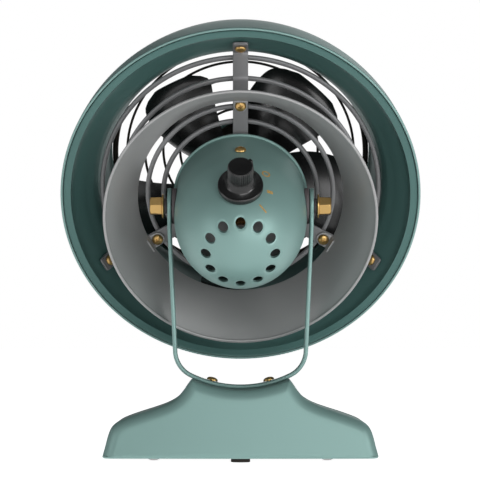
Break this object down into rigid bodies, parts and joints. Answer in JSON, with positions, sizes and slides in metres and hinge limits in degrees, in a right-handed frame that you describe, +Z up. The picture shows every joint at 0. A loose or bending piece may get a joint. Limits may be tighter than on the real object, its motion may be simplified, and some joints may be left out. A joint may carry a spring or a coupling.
{
  "type": "desk fan",
  "caption": "Small vintage-style desk air circulator: round double-walled duct on a tilting U yoke, rear cone and guard, bullet motor housing with speed knob, low base.",
  "frame": {"origin": "on the floor, under the middle of the whole fan", "axes": "+Z up, the fan blows towards -Y and upwards, its rear with the knob faces +Y, +X to the fan's left seen from behind"},
  "size_m": [0.219, 0.1944, 0.2678],
  "materials": {
    "green_paint": "glossy sage green paint",
    "dark_green_paint": "glossy sage green paint on the bell",
    "cone_grey": "satin grey paint",
    "guard_grey": "satin grey paint",
    "brass": "polished brass",
    "bronze": "sintered bronze bushing",
    "black_plastic": "satin black plastic",
    "wire_black": "black powder coat",
    "spacer_grey": "dark grey moulded spacer",
    "rubber": "dark rubber",
    "steel": "plain steel",
    "copper_winding": "enamelled copper winding",
    "lamination": "stacked steel laminations"
  },
  "bodies": {
    "stand": {"base_shell": "green_paint", "base_plate": "black_plastic", "foot_rear": "rubber", "foot_left": "rubber", "foot_right": "rubber", "plate_screw_1": "steel", "plate_screw_2": "steel", "plate_screw_3": "steel", "yoke": "green_paint", "yoke_screw_left": "brass", "yoke_screw_right": "brass"},
    "head": {"duct_shell": "green_paint", "duct_bell": "dark_green_paint", "guard_strut_top": "guard_grey", "guard_strut_left": "guard_grey", "guard_strut_right": "guard_grey", "strut_screw_top": "brass", "strut_screw_left": "brass", "strut_screw_right": "brass", "motor_screw_top": "steel", "motor_screw_left": "steel", "motor_screw_right": "steel", "guard_ring_1": "guard_grey", "guard_ring_2": "guard_grey", "guard_ring_3": "guard_grey", "guard_ring_4": "guard_grey", "inner_cone": "cone_grey", "cone_screw_top": "brass", "cone_screw_left": "brass", "cone_screw_right": "brass", "front_grille": "wire_black", "grille_badge": "green_paint", "motor_housing": "green_paint", "housing_screw_top": "brass", "housing_screw_left": "brass", "housing_screw_right": "brass", "pivot_spacer_left": "spacer_grey", "pivot_washer_left": "spacer_grey", "pivot_nut_left": "brass", "pivot_bolt_left": "steel", "tie_bolt_left": "steel", "pivot_spacer_right": "spacer_grey", "pivot_washer_right": "spacer_grey", "pivot_nut_right": "brass", "pivot_bolt_right": "steel", "tie_bolt_right": "steel", "motor_stator": "lamination", "motor_coil_front": "copper_winding", "motor_bracket_front": "steel", "motor_bearing_front": "bronze", "motor_coil_rear": "copper_winding", "motor_bracket_rear": "steel", "motor_bearing_rear": "bronze", "speed_switch": "black_plastic"},
    "fan": {"propeller": "black_plastic", "motor_shaft": "steel", "motor_rotor": "lamination"},
    "knob": {"speed_knob": "black_plastic", "switch_spindle": "steel"}
  },
  "joints": [
    {"name": "head_tilt", "type": "hinge", "parent": "stand", "child": "head", "pos_m": [0, 0.01995, 0.153], "axis": [-1, 0, 0], "range_deg": [-2, 64.5]},
    {"name": "fan_spin", "type": "hinge", "parent": "head", "child": "fan", "pos_m": [0, 0.01995, 0.153], "axis": [0, -0.9026, 0.4305], "continuous": true},
    {"name": "knob_turn", "type": "hinge", "parent": "head", "child": "knob", "pos_m": [0, 0.07779, 0.16175], "axis": [0, -0.7895, -0.6138], "range_deg": [0, 88]}
  ]
}
